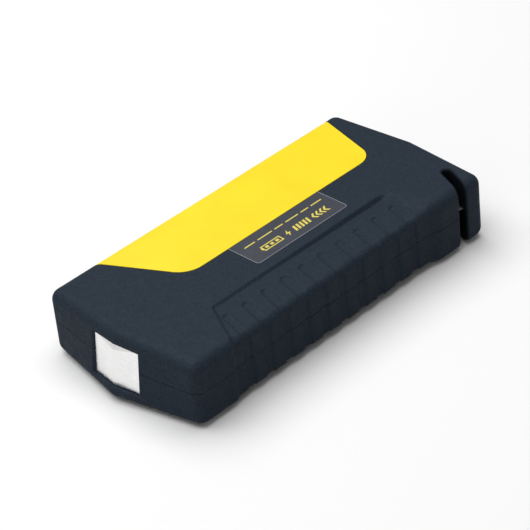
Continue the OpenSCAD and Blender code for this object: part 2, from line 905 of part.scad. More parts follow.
module light_bar(r, x0, x1) {
    translate([x0, light_y, light_z]) rotate([0, 90, 0]) cylinder(r = r, h = x1 - x0);
}

module flashlight_lens() {
    color(clear) place() {
        light_bar(lens_r, lens_front_x - lens_t, lens_front_x);
        light_bar(lens_r + lens_flange, lens_front_x - lens_t, lens_front_x - lens_t + 0.8);
    }
}

module flashlight_reflector() {
    x1 = lens_front_x - lens_t - fit_gap;
    color(foil) place()
        translate([reflector_back_x, light_y, light_z])
            rotate([0, 90, 0])
                rotate_extrude()
                    polygon([[1.9, 0], [4.4, 1.8], [5.6, x1 - reflector_back_x],
                             [6.4, x1 - reflector_back_x], [6.4, 0]]);
}

module flashlight_led() {
    color(clear) place() {
        light_bar(led_dome_r, light_board_x[1], light_board_x[1] + led_dome_r);
        translate([light_board_x[1] + led_dome_r, light_y, light_z]) sphere(r = led_dome_r);
    }
}

module flashlight_board() {
    color(board_green) place()
        translate([light_board_x[0], light_y - 6.5, light_z - 6.5])
            cube([light_board_x[1] - light_board_x[0], 13, 13]);
}

module flashlight_leads() {
    color(red) place()
        for (s = [-1, 1])
            translate([0.5 * s, 0.8 * s, 0]) lead(light_route, thin_lead_r, 8, [0.6, 0.8, 0]);
}

// ---------- Battery ----------

module cell(i) {
    color(foil) place()
        translate([cell_x, cell_y, cell_z + i * cell_step]) cube([cell_l, cell_w, cell_t]);
}

module cell_1() { cell(0); }
module cell_2() { cell(1); }
module cell_3() { cell(2); }

module cell_tapes() {
    color([0.95, 0.9, 0.6]) place()
        for (i = [0, 1])
            translate([cell_x + 10, cell_y + 4, cell_z + i * cell_step + cell_t])
                cube([cell_l - 20, cell_w - 8, tape_t]);
}

module cell_tabs() {
    color(brass) place()
        for (i = [0 : 2], y = tab_y)
            translate([cell_x - tab_l, y - 3, cell_z + i * cell_step + cell_t / 2])
                cube([tab_l, 6, 0.2]);
}

module balance_board() {
    color(board_green) place()
        translate([cell_x - tab_l - 1.2, tab_y[0] - 6, cell_z + 1]) cube([1.2, 26, 20]);
}

module foam_pad() {
    color([0.25, 0.25, 0.27]) place()
        translate([cell_x + 4, grip_floor_y + 0.3, floor_t]) cube([cell_l - 8, 24, cell_z - floor_t]);
}

module positive_lead() {
    color(red) place() lead(positive_route, lead_r, 12);
}

module negative_lead() {
    color(black) place() lead(negative_route, lead_r, 12);
}

// ---------- Main board ----------

module main_board() {
    color(board_green) place()
        difference() {
            translate([board_x[0], board_y[0], board_z])
                cube([board_x[1] - board_x[0], board_y[1] - board_y[0], board_t]);
            for (p = board_screw_xy)
                translate([p[0], p[1], board_z - over]) cylinder(r = 1.2, h = board_t + 2 * over);
        }
}

module board_inductor() {
    color([0.25, 0.25, 0.26]) place()
        translate([-15, 18, board_top]) cube([9, 9, 6]);
}

module board_capacitors() {
    color([0.15, 0.15, 0.3]) place()
        for (x = [2, 9])
            translate([x, 21.5, board_top]) cylinder(r = 3, h = 9);
}

module board_chips() {
    color(black) place()
        for (x = [-31, 15, 24])
            translate([x, 18.5, board_top]) cube([5, 5, 1.4]);
}

// A pan-head screw, head up, under the head at the origin
module screw(head_r, head_h, shank_r, shank_l) {
    difference() {
        cylinder(r = head_r, h = head_h);
        for (a = [0, 90])
            rotate(a) translate([-head_r * 0.6, -0.3, head_h * 0.5]) cube([head_r * 1.2, 0.6, head_h]);
    }
    translate([0, 0, -shank_l]) cylinder(r = shank_r, h = shank_l);
}

module board_screws() {
    color(steel) place()
        for (p = board_screw_xy)
            translate([p[0], p[1], board_top]) screw(1.7, 1, 0.9, board_top - 1.4);
}

module case_screws() {
    color(steel) place()
        for (p = foot_xy)
            translate([p[0], p[1], head_shoulder_z])
                mirror([0, 0, 1]) screw(screw_head_r, head_t, screw_r, screw_top_z - head_shoulder_z);
}

// ---------- Feet ----------

module foot(i) {
    color([0.1, 0.1, 0.1]) place()
        translate([foot_xy[i][0], foot_xy[i][1], -foot_out])
            cylinder(r = foot_r, h = foot_out + foot_recess);
}

module foot_1() { foot(0); }
module foot_2() { foot(1); }
module foot_3() { foot(2); }
module foot_4() { foot(3); }

lower_shell();
upper_shell();
top_panel();
label_film();
hammer_head();
cutter_blade();
port_bezel();
jump_socket();
contact_positive();
contact_negative();
socket_cover();
usb_sleeve_1();
usb_sleeve_2();
usb_insulator_1();
usb_insulator_2();
input_jack();
input_pin();
output_jack();
output_pin();
power_button();
button_plunger();
button_switch();
voltage_selector();
selector_body();
level_leds();
level_light_guide();
button_board();
flashlight_lens();
flashlight_reflector();
flashlight_led();
flashlight_board();
flashlight_leads();
cell_1();
cell_2();
cell_3();
cell_tapes();
cell_tabs();
balance_board();
foam_pad();
positive_lead();
negative_lead();
main_board();
board_inductor();
board_capacitors();
board_chips();
board_screws();
case_screws();
foot_1();
foot_2();
foot_3();
foot_4();
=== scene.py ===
"""Jump starter pack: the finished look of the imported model.

Sizes are in millimetres in the casing's own frame, with x and y from its middle and z from its
underside. place() turns them into metres in the row frame.
"""

import math

import bmesh
import bpy
import numpy as np
from mathutils import Matrix, Vector


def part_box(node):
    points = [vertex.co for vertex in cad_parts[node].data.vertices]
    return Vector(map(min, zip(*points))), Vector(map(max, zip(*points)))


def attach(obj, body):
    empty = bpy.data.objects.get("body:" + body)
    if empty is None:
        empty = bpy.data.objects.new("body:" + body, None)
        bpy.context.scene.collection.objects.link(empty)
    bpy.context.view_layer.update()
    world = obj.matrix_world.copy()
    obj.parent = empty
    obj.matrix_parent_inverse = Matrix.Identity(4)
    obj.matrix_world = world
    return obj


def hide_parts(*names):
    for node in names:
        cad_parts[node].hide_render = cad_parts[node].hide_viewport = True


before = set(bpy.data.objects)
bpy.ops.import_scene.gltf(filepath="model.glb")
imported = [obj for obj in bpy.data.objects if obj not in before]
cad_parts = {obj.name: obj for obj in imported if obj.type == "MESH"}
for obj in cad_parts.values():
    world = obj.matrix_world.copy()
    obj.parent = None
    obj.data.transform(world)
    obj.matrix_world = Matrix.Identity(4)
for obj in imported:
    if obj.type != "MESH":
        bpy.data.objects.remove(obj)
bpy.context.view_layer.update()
MM = 0.001


def box_mm(node):
    """Lowest and highest corner of a CAD node, in millimetres in the row frame."""
    low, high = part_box(node)
    return [c / MM for c in low], [c / MM for c in high]


# ---------- Sizes ----------

lower_box, upper_box = box_mm("lower_shell"), box_mm("upper_shell")
BASE_Z = lower_box[0][2]
HALF_L = (lower_box[1][0] - lower_box[0][0]) / 2
HALF_W = (lower_box[1][1] - lower_box[0][1]) / 2
HEIGHT = upper_box[1][2] - BASE_Z
SPLIT_Z = upper_box[0][2] - BASE_Z
EDGE_R = 4.5
POINT_DEPTH = 8.3  # how far the hammer end's point stands out from its corners, at the bottom
POINT_LEAN = 4.3  # how far the point leans back by the top edge
BULGE_DEPTH = 3.4  # how far the cutter end bulges in the middle
SEAM_GAP = 0.14
OVER = 5.0  # how far a cutting body runs past the surface that it cuts

GRIP_Y = -17.2
GRIP_LEFT = ((-47, GRIP_Y), (-61, -45))  # two points of the grip's edge at each end
GRIP_RIGHT = ((50, GRIP_Y), (59, -45))
GRIP_DEPTH = (0.95, 1.75)  # at the first and the last x of the span
GRIP_SPAN = (-55, 52)
GRIP_STEP = 1.9  # how far in from its edge the grip reaches that depth
GRIP_FADE = 6.0  # and the same at the cutter end
GROOVE_COUNT = 10
GROOVE_X = -48.5  # the first groove's middle, where the side's rounding starts
GROOVE_PITCH = 10.14
GROOVE_R = 2.5
GROOVE_DEPTH = 0.55
GROOVE_STEP = 1.0
GROOVE_END_Y = -26.5
GROOVE_SLANT = math.radians(14)
GROOVE_LEAN = math.tan(math.radians(1.3))

PANEL_Y = 4.0  # the panel's straight edge
PANEL_OUT_Y = 42.0
PANEL_LEFT = (-36.8, -56.0)  # x of a slanted edge at PANEL_Y and at PANEL_OUT_Y
PANEL_RIGHT = (65.4, 75.3)
PANEL_CORNER_R = (11.0, 9.0)
PANEL_CORNERS_Y = 7.2  # both round corners lie within this of the straight edge
PANEL_LOW_Z = 23.6
PANEL_T = 1.5
PANEL_EDGE = 0.35
PANEL_GAP = 0.3
PANEL_BED = 0.1
POCKET_ROUND = 0.25

LABEL_X = (-16.4, 33.6)
LABEL_Y = (-12.65, 3.75)
LABEL_CORNER = 1.6
LABEL_T = 0.2
LABEL_GAP = 0.1
LABEL_SINK = 0.05  # the film's face lies this far below the casing's top
PRINT_T = 0.03
BORDER = (0.12, 0.36)  # the printed border's two sides, from the film's edge
SIGN_Y = -6.95
SIGN_H = 3.5
DASH_X = -12.2
DASH_Y = -0.95
DASH_H = 0.6
DASH_GAP = 1.5
DASH_LENGTHS = [5.6, 7.8, 4.6, 7.0, 4.2, 5.8]

HAMMER_HALF_W = 11.7
HAMMER_Z = (5.9, 23.3)
HAMMER_BACK_X = -76.0
HAMMER_EDGE_X = -81.1  # the foot of its ridge
HAMMER_LEAN = 0.11  # how steeply the ridge leans back towards the top
HAMMER_HIP = 2.3  # the ridge stops this far below the head's top
HAMMER_GAP = 0.2
HAMMER_GAP_Z = (0.3, 0.18)  # below and above it
HAMMER_ROUND = 0.2

SLOT_END = (74.5, -27.5)
SLOT_R = 1.8
SLOT_ANGLE = math.radians(22)
SLOT_ROUND = 1.25

LIGHT_Y = 6.0
LIGHT_R = 6.65
LIGHT_ROUND = 0.5
BEZEL_X = 3.0
BEZEL_Z = 13.2
BEZEL_HALF = (65.12, 8.52)
BEZEL_CORNER = 2.0
BEZEL_ROUND = 0.4

FOOT_NODES = ["foot_1", "foot_2", "foot_3", "foot_4"]
FOOT_RECESS = 0.7
FOOT_GAP = 0.25
FOOT_ROUND = 0.2

CAVITY_LOW = (-75.5, -36.0, 2.4)
CAVITY_HIGH = (78.5, 37.0, 25.1)
CAVITY_CHAMFER = 5.0
CAVITY_LAP = 0.5  # how far a hole in the wall runs on into the cavity
CUTTER_BLOCK = (59.0, -21.0)  # the solid corner around the cutter slot
GRIP_FLOOR = (3.4, -15.5)  # top of the raised floor under the grip, and its inner side

SKIN_STEP = 0.5  # the shells' grid
SKIN_TILE = 12  # flat faces merge within tiles of this many cells

# Angles between two faces, in degrees
SKIN_FLAT = 0.3  # below this they merge
SKIN_SHARP = 32  # above this their edge stays crisp
CAD_SHARP = 40
CAD_BEVEL = 35  # above this their edge is rounded
PANEL_BEVEL = 50


def place(points):
    """Casing millimetres to row metres."""
    moved = np.array(points, dtype=float)
    moved[:, 2] += BASE_Z
    return moved * MM


# ---------- Distance fields: negative inside ----------


def round_and(a, b, r):
    """What is in both a and b, with the edge between them rounded."""
    return np.minimum(np.maximum(a, b), -r) + np.hypot(np.maximum(a + r, 0), np.maximum(b + r, 0))


def ease(d, width):
    """0 outside, rising to 1 at a depth of width."""
    t = np.clip(-d / width, 0, 1)
    return t * t * (3 - 2 * t)


def side_of(x, y, line, s):
    """Distance outside a straight line in plan; s is -1 where outside is towards -x."""
    (ax, ay), (bx, by) = line
    length = math.hypot(bx - ax, by - ay)
    nx, ny = s * abs(by - ay) / length, -s * math.copysign(1, (by - ay)) * (bx - ax) / length
    return (x - ax) * nx + (y - ay) * ny


def outline_distance(x, y, corners):
    """Distance in plan to a closed outline; a corner's x may change with height."""
    nearest, crossings = np.inf, False
    for (ax, ay), (bx, by) in zip(corners, corners[1:] + corners[:1]):
        ex, ey = bx - ax, by - ay
        wx, wy = x - ax, y - ay
        t = np.clip((wx * ex + wy * ey) / (ex * ex + ey * ey), 0, 1)
        nearest = np.minimum(nearest, np.hypot(wx - ex * t, wy - ey * t))
        if ey:
            crossings = crossings ^ (((ay > y) != (by > y)) & (wx < wy * ex / ey))
    return np.where(crossings, -nearest, nearest)


def box_distance(x, y, z, low, high):
    """Distance to a box, by its furthest face."""
    d = np.maximum(low[0] - x, x - high[0])
    d = np.maximum(d, np.maximum(low[1] - y, y - high[1]))
    return np.maximum(d, np.maximum(low[2] - z, z - high[2]))


def capsule(dx, dy, slant, r):
    """A slot with a round end at the origin, which runs off towards -y, slanted in plan."""
    along = -dx * math.sin(slant) - dy * math.cos(slant)
    across = dx * math.cos(slant) - dy * math.sin(slant)
    return np.hypot(np.minimum(along, 0), across) - r


def outer_form(x, y, z):
    """The casing with no features: a rounded block, pointed at one end and bulged at the other."""
    rise = np.clip((z - EDGE_R) / (HEIGHT - 2 * EDGE_R), 0, 1)
    side = HALF_W - EDGE_R
    point_x = -HALF_L + EDGE_R + POINT_LEAN * rise
    hammer_x = -HALF_L + EDGE_R + POINT_DEPTH * side / HALF_W
    cutter_x = HALF_L - EDGE_R - BULGE_DEPTH * side / HALF_W
    plan = outline_distance(
        x,
        y,
        [
            (point_x, 0),
            (hammer_x, -side),
            (cutter_x, -side),
            (HALF_L - EDGE_R, 0),
            (cutter_x, side),
            (hammer_x, side),
        ],
    )
    level = np.abs(z - HEIGHT / 2) - (HEIGHT / 2 - EDGE_R)
    return round_and(plan, level, 0) - EDGE_R


def grip_sink(x, y, z):
    """How far the grip and its finger grooves lie below the plain casing."""
    share = np.clip((x - GRIP_SPAN[0]) / (GRIP_SPAN[1] - GRIP_SPAN[0]), 0, 1)
    depth = GRIP_DEPTH[0] + (GRIP_DEPTH[1] - GRIP_DEPTH[0]) * share
    area = ease(y - GRIP_Y, GRIP_STEP) * ease(side_of(x, y, GRIP_LEFT, -1), GRIP_STEP)
    area = area * ease(side_of(x, y, GRIP_RIGHT, 1), GRIP_FADE)
    middle = GROOVE_X + (y + HALF_W - EDGE_R) * math.tan(GROOVE_SLANT)
    middle = middle - (z - HEIGHT / 2) * GROOVE_LEAN
    number = np.clip(np.round((x - middle) / GROOVE_PITCH), 0, GROOVE_COUNT - 1)
    off = x - middle - number * GROOVE_PITCH
    below = y - GROOVE_END_Y
    groove = capsule(off + below * math.tan(GROOVE_SLANT), below, GROOVE_SLANT, GROOVE_R)
    return area * (depth + GROOVE_DEPTH * ease(groove, GROOVE_STEP))


def panel_end(x, y, line, r, s):
    """The panel's outline at one end: its slanted edge and the round corner before it."""
    a = math.atan2(abs(line[1] - line[0]), PANEL_OUT_Y - PANEL_Y)
    slanted = (s * (x - line[0])) * math.cos(a) - (y - PANEL_Y) * math.sin(a)
    cx = line[0] - s * r * (1 - math.sin(a)) / math.cos(a)
    vx, vy = s * (x - cx), y - (PANEL_Y + r)
    in_corner = (vx > 0) & (-vx * math.sin(a) - vy * math.cos(a) > 0)
    return np.where(in_corner, np.hypot(vx, vy) - r, np.maximum(slanted, PANEL_Y - y))


def panel_outline(x, y):
    left = panel_end(x, y, PANEL_LEFT, PANEL_CORNER_R[0], -1)
    right = panel_end(x, y, PANEL_RIGHT, PANEL_CORNER_R[1], 1)
    return np.maximum(left, right)


def label_outline(x, y):
    far_side = np.maximum(LABEL_X[0] - x, x - LABEL_X[1])
    return np.maximum(round_and(far_side, LABEL_Y[0] - y, LABEL_CORNER), y - LABEL_Y[1])


def cavity(x, y, z):
    """The room inside the two shells."""
    room = box_distance(x, y, z, CAVITY_LOW, CAVITY_HIGH)
    left, right = x - CAVITY_LOW[0], CAVITY_HIGH[0] - x
    near, far = y - CAVITY_LOW[1], CAVITY_HIGH[1] - y
    for corner in (left + near, left + far, right + far):
        room = np.maximum(room, (CAVITY_CHAMFER - corner) / math.sqrt(2))
    block = np.maximum(CUTTER_BLOCK[0] - x, y - CUTTER_BLOCK[1])
    step = np.maximum(z - GRIP_FLOOR[0], y - GRIP_FLOOR[1])
    return np.maximum(room, np.maximum(-block, -step))


def hammer_hole(x, y, z):
    """The hammer's hole, whose sides open out in front of the head."""
    edge_x = HAMMER_EDGE_X + HAMMER_LEAN * (z - HAMMER_Z[0])
    across = np.abs(y) - np.maximum(edge_x - x, 0)
    low = (-HALF_L - OVER, -HALF_W, HAMMER_Z[0] - HAMMER_GAP_Z[0])
    high = (HAMMER_BACK_X + HAMMER_GAP, HAMMER_HALF_W + HAMMER_GAP, HAMMER_Z[1] + HAMMER_GAP_Z[1])
    return box_distance(x, across, z, low, high)


def casing(x, y, z):
    """The whole casing, before it is split into its two shells."""
    outer = outer_form(x, y, z)
    body = outer + grip_sink(x, y, z)
    slot = capsule(x - SLOT_END[0], y - SLOT_END[1], SLOT_ANGLE, SLOT_R)
    body = round_and(body, -slot, SLOT_ROUND)
    body = round_and(body, -hammer_hole(x, y, z), HAMMER_ROUND)
    ports_x, ports_z = np.abs(x - BEZEL_X) - BEZEL_HALF[0], np.abs(z - BEZEL_Z) - BEZEL_HALF[1]
    ports = round_and(ports_x, ports_z, BEZEL_CORNER)
    body = round_and(body, -np.maximum(ports, CAVITY_HIGH[1] - CAVITY_LAP - y), BEZEL_ROUND)
    lamp = np.hypot(y - LIGHT_Y, z - SPLIT_Z) - LIGHT_R
    body = round_and(body, -np.maximum(lamp, CAVITY_HIGH[0] - CAVITY_LAP - x), LIGHT_ROUND)
    pocket = np.maximum(panel_outline(x, y) - PANEL_GAP, PANEL_LOW_Z - PANEL_GAP - z)
    body = round_and(body, -np.maximum(pocket, -(outer + PANEL_T + PANEL_BED)), POCKET_ROUND)
    for foot in FOOT_NODES:
        low, high = box_mm(foot)
        across = np.hypot(x - (low[0] + high[0]) / 2, y - (low[1] + high[1]) / 2)
        recess = np.maximum(across - (high[0] - low[0]) / 2 - FOOT_GAP, z - FOOT_RECESS)
        body = round_and(body, -recess, FOOT_ROUND)
    film = np.maximum(label_outline(x, y) - LABEL_GAP, -(outer + LABEL_T + LABEL_SINK))
    body = np.maximum(body, -np.maximum(film, HEIGHT / 2 - z))
    return np.maximum(body, -cavity(x, y, z))


def upper_half(x, y, z):
    return np.maximum(casing(x, y, z), SPLIT_Z + SEAM_GAP / 2 - z)


def lower_half(x, y, z):
    return np.maximum(casing(x, y, z), z - SPLIT_Z + SEAM_GAP / 2)


# ---------- Meshes ----------


def slope(points, field, reach=0.02):
    """The field's gradient at each point."""
    ahead = [field(*(points + h).T) for h in np.eye(3) * reach]
    behind = [field(*(points - h).T) for h in np.eye(3) * reach]
    return (np.stack(ahead, 1) - np.stack(behind, 1)) / (2 * reach)


def grid_skin(field, low, high):
    """Points and quads of the surface where the field is zero: a point in each cell crossed."""
    axes = [np.arange(a, b + SKIN_STEP, SKIN_STEP) for a, b in zip(low, high)]
    value = field(*np.meshgrid(*axes, indexing="ij", sparse=True))
    inside = value < 0
    cells = np.array(value.shape) - 1
    stride = np.array([cells[1] * cells[2], cells[2], 1])
    corner_ids, crossings = [], []
    for axis in range(3):
        first = inside.take(range(cells[axis]), axis)
        second = inside.take(range(1, cells[axis] + 1), axis)
        at = np.argwhere(first != second)
        ahead = np.eye(3, dtype=int)[axis]
        start, end = value[tuple(at.T)], value[tuple((at + ahead).T)]
        crossings.append(at + ahead * (start / (start - end))[:, None])
        u, v = stride[(axis + 1) % 3], stride[(axis + 2) % 3]
        ids = np.stack([at @ stride - back for back in (0, u, u + v, v)], 1)
        ids[start > 0] = ids[start > 0, ::-1]
        corner_ids.append(ids)
    ids = np.concatenate(corner_ids)
    crossings = np.concatenate(crossings) * SKIN_STEP + np.array(low)
    used, quads = np.unique(ids, return_inverse=True)
    quads = quads.reshape(ids.shape)
    return meet_planes(crossings, slope(crossings, field), quads, len(used)), quads


def meet_planes(crossings, normals, quads, count):
    """Each cell's point, as near as can be to the surface's planes there, so edges stay sharp."""

    def total(values):
        return np.bincount(quads.ravel(), np.repeat(values, 4), count)

    normals = normals / np.linalg.norm(normals, axis=1, keepdims=True)
    share = total(np.ones(len(crossings)))
    middle = np.stack([total(crossings[:, c]) / share for c in range(3)], 1)
    offset = (normals * crossings).sum(1)
    pull = 0.02
    square = np.empty((count, 3, 3))
    for r in range(3):
        for c in range(3):
            square[:, r, c] = total(normals[:, r] * normals[:, c]) / share + pull * (r == c)
    target = np.stack([total(normals[:, c] * offset) / share for c in range(3)], 1) + pull * middle
    points = np.linalg.solve(square, target[:, :, None])[:, :, 0]
    reach = 0.7 * SKIN_STEP
    points = middle + np.clip(points - middle, -reach, reach)
    return np.clip(points, (-HALF_L, -HALF_W, 0), (HALF_L, HALF_W, HEIGHT))


def add_object(name, points, faces, body="casing"):
    """A piece from points in casing millimetres, riding on a body."""
    mesh = bpy.data.meshes.new(name)
    mesh.from_pydata(place(points).tolist(), [], faces)
    mesh.update()
    piece = bpy.data.objects.new(name, mesh)
    bpy.context.scene.collection.objects.link(piece)
    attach(piece, body)
    return piece


def shade(piece, angle=None):
    """Smooth shading, with edges sharper than the angle kept crisp."""
    piece.data.shade_smooth()
    if angle is not None:
        piece.data.set_sharp_from_angle(angle=math.radians(angle))


def bevel(piece, width, angle=30, segments=3):
    """Rounds a piece's sharp edges, in millimetres."""
    weld = piece.modifiers.new("weld", "WELD")
    weld.merge_threshold = 0.002 * MM
    edge = piece.modifiers.new("edge", "BEVEL")
    edge.width = width * MM
    edge.segments = segments
    edge.limit_method = "ANGLE"
    edge.angle_limit = math.radians(angle)
    edge.harden_normals = False
    piece.modifiers.new("normals", "WEIGHTED_NORMAL")


def field_piece(name, field, low, high):
    """A piece whose surface is a distance field's, with its flat stretches merged tile by tile."""
    points, quads = grid_skin(field, low, high)
    piece = add_object(name, points, quads.tolist())
    tiles = np.floor(points[quads].mean(1) / (SKIN_TILE * SKIN_STEP)).astype(int) % 2
    piece.data.polygons.foreach_set("material_index", tiles @ np.array([1, 2, 4]))
    edit = bmesh.new()
    edit.from_mesh(piece.data)
    bmesh.ops.dissolve_limit(
        edit,
        angle_limit=math.radians(SKIN_FLAT),
        verts=edit.verts,
        edges=edit.edges,
        use_dissolve_boundaries=False,
        delimit={"MATERIAL"},
    )
    for face in edit.faces:
        face.material_index = 0
    edit.to_mesh(piece.data)
    edit.free()
    shade(piece, SKIN_SHARP)
    normals = piece.modifiers.new("normals", "WEIGHTED_NORMAL")
    normals.keep_sharp = True
    return piece


def make_shells():
    margin, lap = 1.0, 3.0
    low = (-HALF_L - margin, -HALF_W - margin)
    high = (HALF_L + margin, HALF_W + margin)
    top = HEIGHT + margin
    upper = field_piece("upper_shell_skin", upper_half, (*low, SPLIT_Z - lap), (*high, top))
    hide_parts("upper_shell")
    lower = field_piece("lower_shell_skin", lower_half, (*low, -margin), (*high, SPLIT_Z + lap))
    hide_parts("lower_shell")
    return upper, lower


# ---------- Top panel and label ----------


def panel_edge_x(y, line, r, s):
    """x of the panel's outline at one end, round its corner and then along its slanted edge."""
    a = math.atan2(abs(line[1] - line[0]), PANEL_OUT_Y - PANEL_Y)
    drop = PANEL_Y + r - y
    if drop > r * math.sin(a):
        centre = line[0] - s * r * (1 - math.sin(a)) / math.cos(a)
        return centre + s * math.sqrt(max(r * r - drop * drop, 0))
    return line[0] + s * abs(line[1] - line[0]) * (y - PANEL_Y) / (PANEL_OUT_Y - PANEL_Y)


def panel_section():
    """y and z of the panel's face, from its straight edge over the top and down the port side."""
    turns = [math.pi / 2 * k / 16 for k in range(17)]
    section = [(PANEL_Y + PANEL_CORNERS_Y * (1 - math.cos(t)), HEIGHT) for t in turns]
    side, top = HALF_W - EDGE_R, HEIGHT - EDGE_R
    section += [(y, HEIGHT) for y in np.linspace(PANEL_Y + PANEL_CORNERS_Y, side, 9)[1:-1]]
    section += [(side + EDGE_R * math.sin(t), top + EDGE_R * math.cos(t)) for t in turns]
    return section + [(HALF_W, PANEL_LOW_Z)]


def make_panel():
    columns = 36
    section = panel_section()
    points = []
    for y, z in section:
        left = panel_edge_x(y, PANEL_LEFT, PANEL_CORNER_R[0], -1)
        right = panel_edge_x(y, PANEL_RIGHT, PANEL_CORNER_R[1], 1)
        points += [(x, y, z) for x in np.linspace(left, right, columns + 1)]
    faces = []
    for row in range(len(section) - 1):
        for column in range(columns):
            a = row * (columns + 1) + column
            faces.append((a, a + 1, a + columns + 2, a + columns + 1))
    panel = add_object("top_panel_skin", points, faces)
    wall = panel.modifiers.new("wall", "SOLIDIFY")
    wall.thickness = PANEL_T * MM
    wall.offset = -1
    shade(panel)
    bevel(panel, PANEL_EDGE, angle=PANEL_BEVEL)
    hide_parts("top_panel")
    return panel


def add_plates(name, outlines, low, high):
    """Flat shapes between two heights, each from its outline, anticlockwise."""
    points, faces = [], []
    for outline in outlines:
        n, first = len(outline), len(points)
        points += [(x, y, low) for x, y in outline] + [(x, y, high) for x, y in outline]
        faces.append([first + n + k for k in range(n)])
        faces.append([first + k for k in reversed(range(n))])
        for k in range(n):
            nxt = (k + 1) % n
            faces.append([first + k, first + nxt, first + n + nxt, first + n + k])
    piece = add_object(name, points, faces)
    return piece


def label_path(inset):
    """The label's edge: down one side, round two corners and up the other side."""
    r = LABEL_CORNER - inset
    corners = [(LABEL_X[0] + LABEL_CORNER, math.pi), (LABEL_X[1] - LABEL_CORNER, 1.5 * math.pi)]
    path = [(LABEL_X[0] + inset, LABEL_Y[1])]
    for x, start in corners:
        for k in range(9):
            t = start + math.pi / 2 * k / 8
            path.append((x + r * math.cos(t), LABEL_Y[0] + LABEL_CORNER + r * math.sin(t)))
    return path + [(LABEL_X[1] - inset, LABEL_Y[1])]


def bar(x, y, length, height, slant=0.0):
    """A bar around a middle point, leaning over by slant."""
    half = [length / 2, height / 2]
    return [
        (x + sx * half[0] + sy * slant / 2, y + sy * half[1])
        for sx, sy in [(-1, -1), (1, -1), (1, 1), (-1, 1)]
    ]


def row(first, pitch, count):
    return [first + pitch * k for k in range(count)]


def battery_sign(x, y, length, height, line):
    """A battery's outline with its end cap and three charge bars."""
    shapes = [bar(x, y + s * (height - line) / 2, length, line) for s in (-1, 1)]
    shapes += [bar(x + s * (length - line) / 2, y, line, height - 2 * line) for s in (-1, 1)]
    shapes.append(bar(x - (length + line) / 2, y, line, height * 0.4))
    pitch, width = length * 0.27, length * 0.15
    return shapes + [bar(x + k * pitch, y, width, height - 4 * line) for k in (-1, 0, 1)]


def bolt_sign(x, y, height):
    """A lightning bolt."""
    shape = [(0.15, 0.5), (-0.34, -0.08), (-0.04, -0.06), (-0.15, -0.5), (0.34, 0.08), (0.04, 0.06)]
    return [(x + px * height, y + py * height) for px, py in shape]


def chevron_sign(x, y, height, line):
    """An arrow head that points along -x."""
    half, reach = height / 2, height * 0.4
    return [
        (x - reach, y), (x, y - half), (x + line, y - half),
        (x + line - reach, y), (x + line, y + half), (x, y + half),
    ]


def make_label():
    """The film, its printed border, and generic signs in place of the lettering."""
    top = HEIGHT - LABEL_SINK
    film = add_plates("label_film_skin", [label_path(0)], top - LABEL_T, top)
    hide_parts("label_film")
    outer, inner = (label_path(inset) for inset in BORDER)
    steps = range(len(outer) - 1)
    strips = [[outer[k], outer[k + 1], inner[k + 1], inner[k]] for k in steps]
    border = add_plates("label_border", strips, top, top + PRINT_T)
    signs = battery_sign(x=-3.2, y=SIGN_Y, length=10.2, height=SIGN_H, line=0.55)
    signs.append(bolt_sign(x=5.6, y=SIGN_Y, height=SIGN_H * 1.15))
    signs += [bar(x, SIGN_Y, 1.05, SIGN_H, slant=0.8) for x in row(9.6, 1.8, 5)]
    signs += [chevron_sign(x, SIGN_Y, SIGN_H, line=1.0) for x in row(20.4, 2.15, 4)]
    x = DASH_X
    for length in DASH_LENGTHS:
        signs.append(bar(x + length / 2, DASH_Y, length, DASH_H))
        x += length + DASH_GAP
    marks = add_plates("label_marks", signs, top, top + PRINT_T)
    return film, border, marks


# ---------- Materials ----------

MIX_FACTOR, MIX_A, MIX_B, MIX_RESULT = 0, 6, 7, 2  # a Mix node's sockets, when it mixes colours


